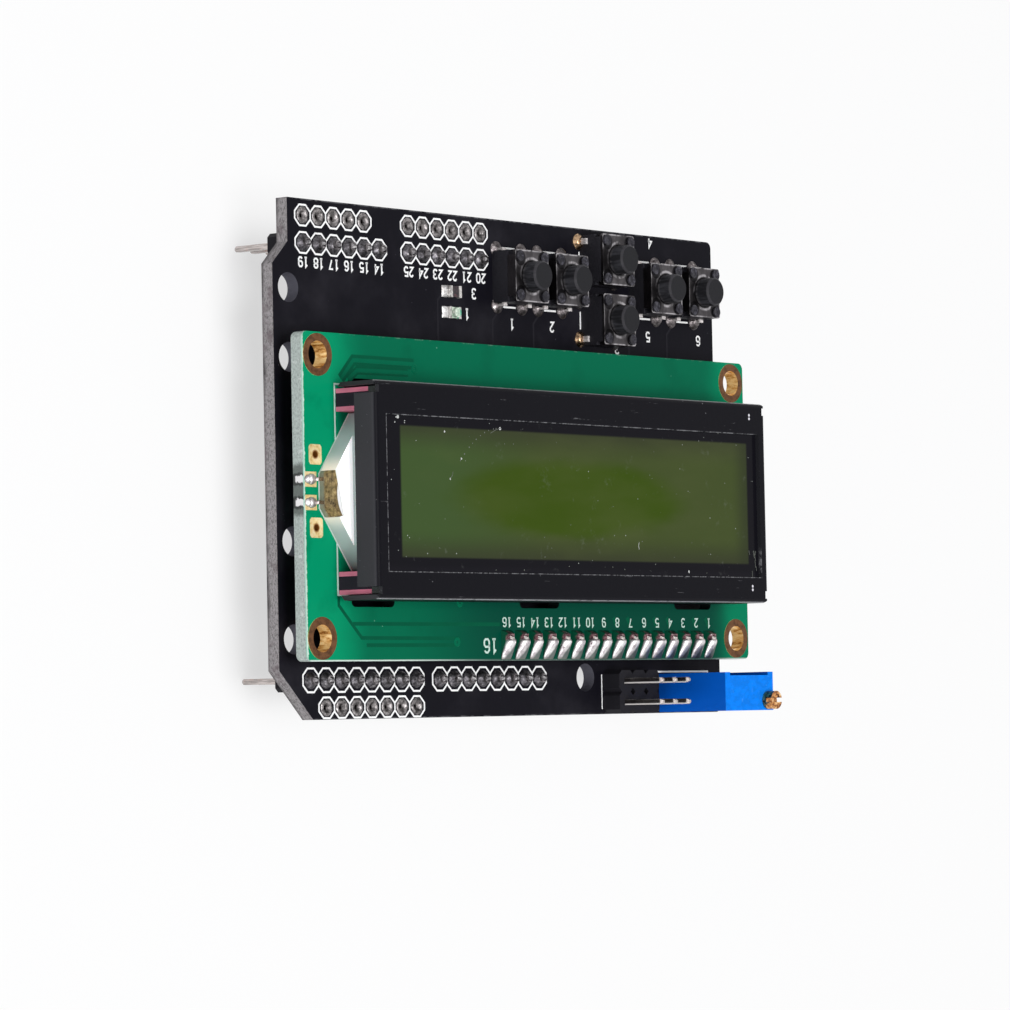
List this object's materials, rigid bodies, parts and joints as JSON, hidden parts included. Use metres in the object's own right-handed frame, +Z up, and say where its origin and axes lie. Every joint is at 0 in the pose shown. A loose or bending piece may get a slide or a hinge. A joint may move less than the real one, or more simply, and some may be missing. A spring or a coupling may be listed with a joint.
{
  "type": "character display and keypad module",
  "caption": "Plug-on board with a framed character display above, a group of push buttons along one edge, a screw trimmer, a small pin header and rows of plug pins below.",
  "frame": {"origin": "middle of the bounding box at the tips of the lower pins, where the board stands", "axes": "+Z up through the display's window, +X towards the end with the backlight lamp and the cut corner, +Y towards the long edge with the trimmer and the digital pin rows"},
  "size_m": [0.08, 0.0576, 0.0215],
  "materials": {
    "black_laminate": "glossy solder mask on glass laminate with a pale cut edge",
    "green_laminate": "glossy solder mask on glass laminate with a pale cut edge",
    "black_moulding": "satin",
    "tinned_pin": "tin plated",
    "gilt_pin": "thin gold plate",
    "solder": "bright tin solder",
    "copper": "bare plated copper",
    "black_epoxy": "satin cast epoxy",
    "white_sheet": "matt white film",
    "clear_acrylic": "polished clear acrylic",
    "tan_moulding": "satin",
    "polariser_film": "glossy film",
    "display_glass": "polished",
    "contact_rubber": "matt",
    "pink_rubber": "matt sponge rubber",
    "black_steel": "satin black coat on thin steel",
    "key_moulding": "satin",
    "key_steel": "plain rolled steel",
    "blue_moulding": "satin",
    "brass": "bright turned brass",
    "white_moulding": "satin",
    "ceramic": "fired plate",
    "blue_epoxy": "cast epoxy",
    "chip_body": "coated chip",
    "lamp_body": "clear cap on a white base"
  },
  "bodies": {
    "board": {"carrier_board": "black_laminate", "analogue_strip": "black_moulding", "power_strip": "black_moulding", "digital_low_strip": "black_moulding", "digital_high_strip": "black_moulding", "analogue_pins": "tinned_pin", "power_pins": "tinned_pin", "digital_low_pins": "tinned_pin", "digital_high_pins": "tinned_pin", "row_solder": "solder", "display_board": "green_laminate", "plated_rings": "copper", "display_strip": "black_moulding", "display_pins": "tinned_pin", "display_solder": "solder", "driver_chips": "black_epoxy", "reflector_sheet": "white_sheet", "light_guide": "clear_acrylic", "backlight_lamp": "tan_moulding", "lamp_leads": "tinned_pin", "diffuser_sheet": "white_sheet", "rear_polariser": "polariser_film", "rear_glass": "display_glass", "front_glass": "display_glass", "front_polariser": "polariser_film", "lower_contact_strip": "contact_rubber", "upper_contact_strip": "contact_rubber", "contact_skins": "pink_rubber", "bezel": "black_steel", "reset_base": "key_moulding", "reset_cover": "key_steel", "right_base": "key_moulding", "right_cover": "key_steel", "up_base": "key_moulding", "up_cover": "key_steel", "down_base": "key_moulding", "down_cover": "key_steel", "left_base": "key_moulding", "left_cover": "key_steel", "select_base": "key_moulding", "select_cover": "key_steel", "key_domes": "key_steel", "key_legs": "tinned_pin", "aux_strip": "black_moulding", "aux_pins": "gilt_pin", "trimmer_housing": "blue_moulding", "trimmer_element": "ceramic", "trimmer_seal": "blue_epoxy", "trimmer_pins": "tinned_pin", "chip_resistor": "chip_body", "power_lamp": "lamp_body", "rear_solder": "solder"},
    "reset_key": {"reset_plunger": "key_moulding"},
    "right_key": {"right_plunger": "key_moulding"},
    "up_key": {"up_plunger": "key_moulding"},
    "down_key": {"down_plunger": "key_moulding"},
    "left_key": {"left_plunger": "key_moulding"},
    "select_key": {"select_plunger": "key_moulding"},
    "adjuster": {"trimmer_screw": "brass"},
    "wiper_wheel": {"trimmer_rotor": "white_moulding"}
  },
  "joints": [
    {"name": "reset_press", "type": "slide", "parent": "board", "child": "reset_key", "axis": [0, 0, -1], "range_m": [0, 0.00025], "stiffness_N_per_m": 6400},
    {"name": "right_press", "type": "slide", "parent": "board", "child": "right_key", "axis": [0, 0, -1], "range_m": [0, 0.00025], "stiffness_N_per_m": 6400},
    {"name": "up_press", "type": "slide", "parent": "board", "child": "up_key", "axis": [0, 0, -1], "range_m": [0, 0.00025], "stiffness_N_per_m": 6400},
    {"name": "down_press", "type": "slide", "parent": "board", "child": "down_key", "axis": [0, 0, -1], "range_m": [0, 0.00025], "stiffness_N_per_m": 6400},
    {"name": "left_press", "type": "slide", "parent": "board", "child": "left_key", "axis": [0, 0, -1], "range_m": [0, 0.00025], "stiffness_N_per_m": 6400},
    {"name": "select_press", "type": "slide", "parent": "board", "child": "select_key", "axis": [0, 0, -1], "range_m": [0, 0.00025], "stiffness_N_per_m": 6400},
    {"name": "adjuster_turn", "type": "hinge", "parent": "board", "child": "adjuster", "pos_m": [-0.03575, 0.02745, 0.02014], "axis": [0, 0, 1], "range_deg": [-4500, 4500]},
    {"name": "wiper_turn", "type": "hinge", "parent": "board", "child": "wiper_wheel", "pos_m": [-0.03185, 0.02745, 0.01554], "axis": [0, 1, 0], "range_deg": [-141.1, 141.1]}
  ],
  "couplings": [
    {"joint": "wiper_turn", "follows": "adjuster_turn", "ratio": -0.03125}
  ]
}
